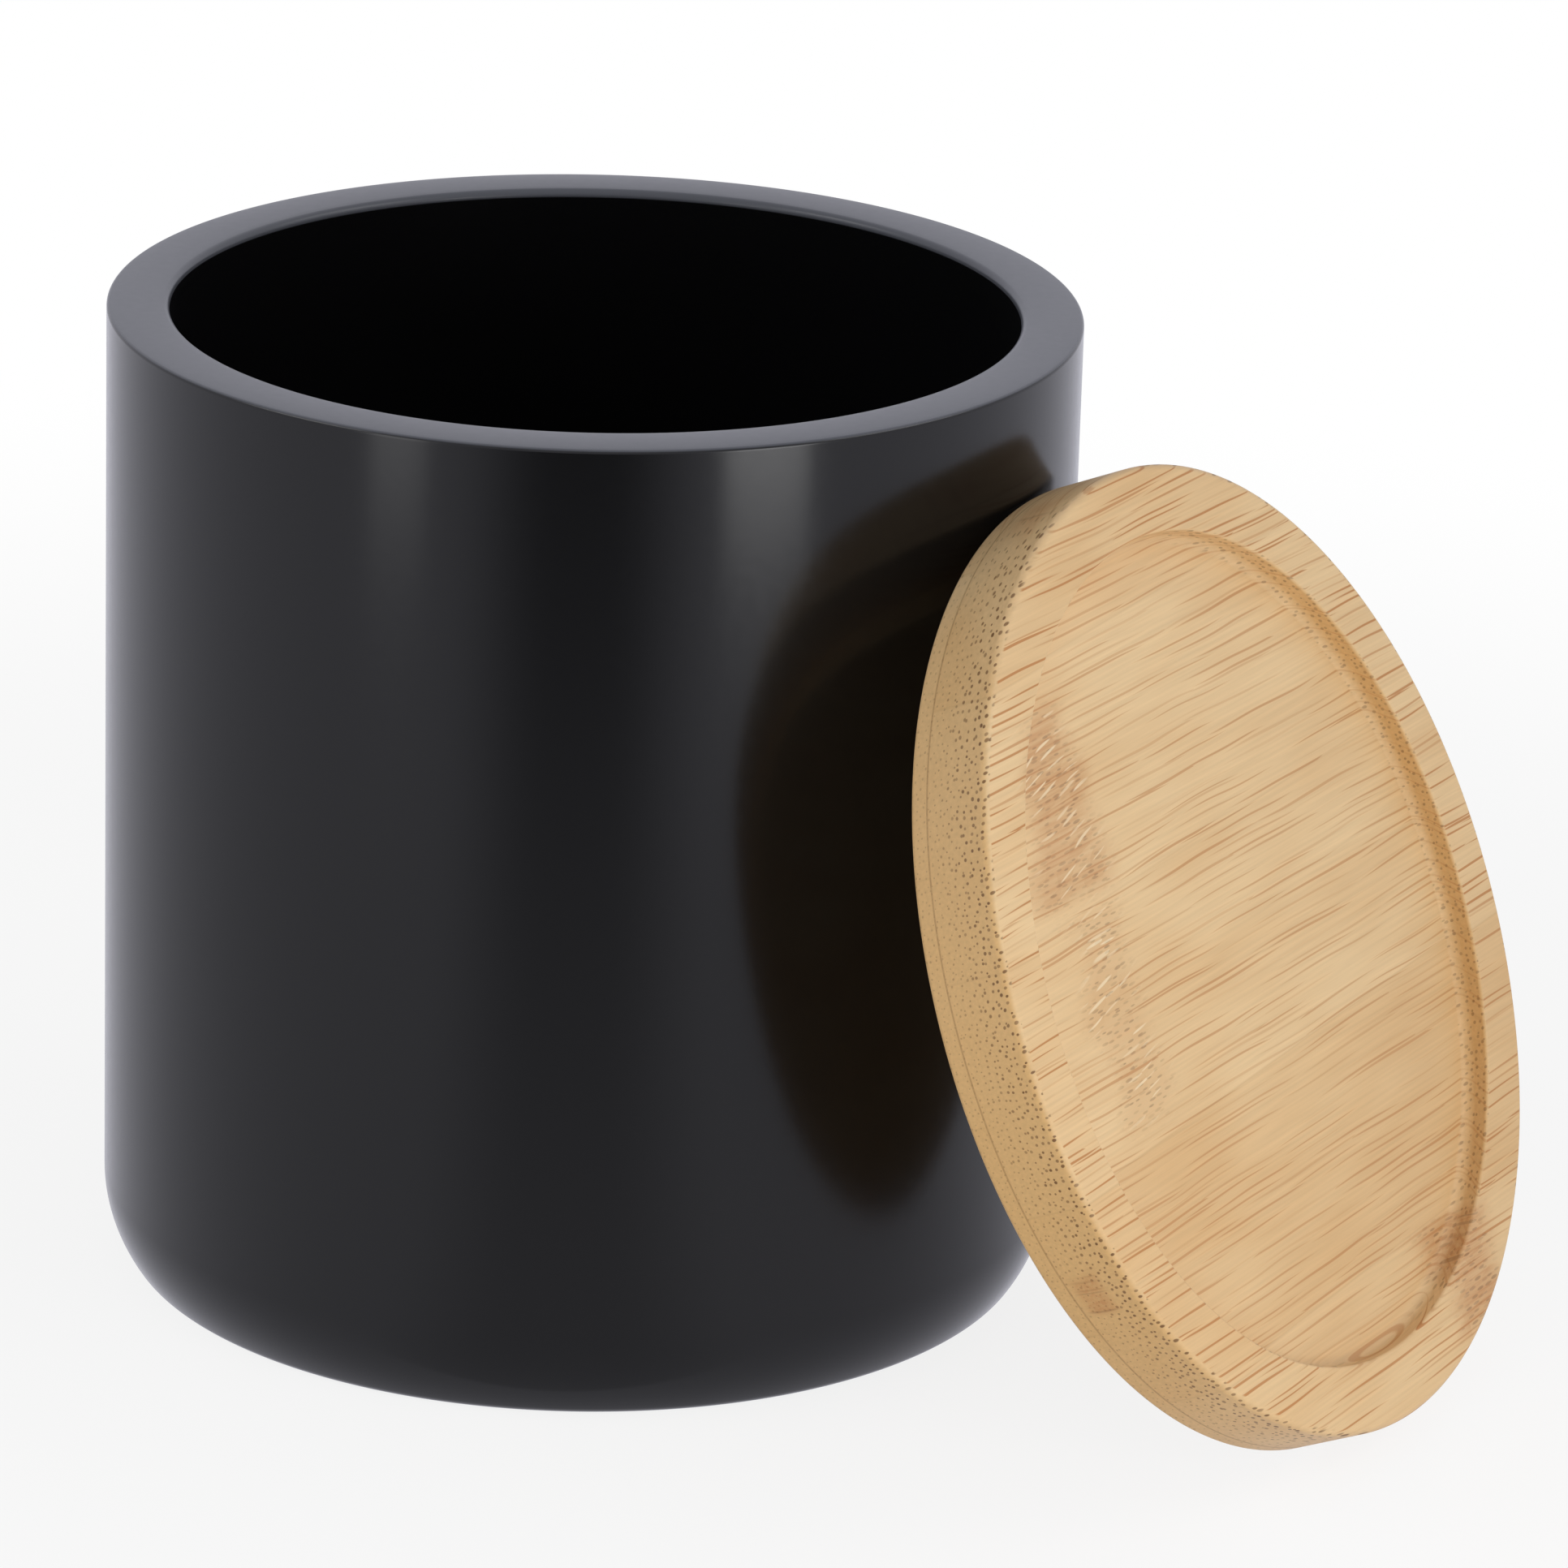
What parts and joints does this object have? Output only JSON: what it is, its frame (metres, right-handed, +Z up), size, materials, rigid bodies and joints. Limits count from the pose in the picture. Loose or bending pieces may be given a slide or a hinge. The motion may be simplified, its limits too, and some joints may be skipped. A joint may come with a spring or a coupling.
{
  "type": "cotton swab box",
  "caption": "Round satin black jar with a thick wall and a drawn-in foot, its dished wooden lid taken off and leaning on it, for keeping cotton swabs or pads.",
  "frame": {"origin": "the jar's axis, in the plane that the jar stands on", "axes": "+Z up along the jar's axis, +X from the jar towards the leaning lid"},
  "size_m": [0.1487, 0.1, 0.1032],
  "materials": {
    "black_resin": "satin",
    "bamboo": "fine sanded and oiled"
  },
  "bodies": {
    "root": {"jar": "black_resin", "lid": "bamboo"}
  },
  "joints": []
}
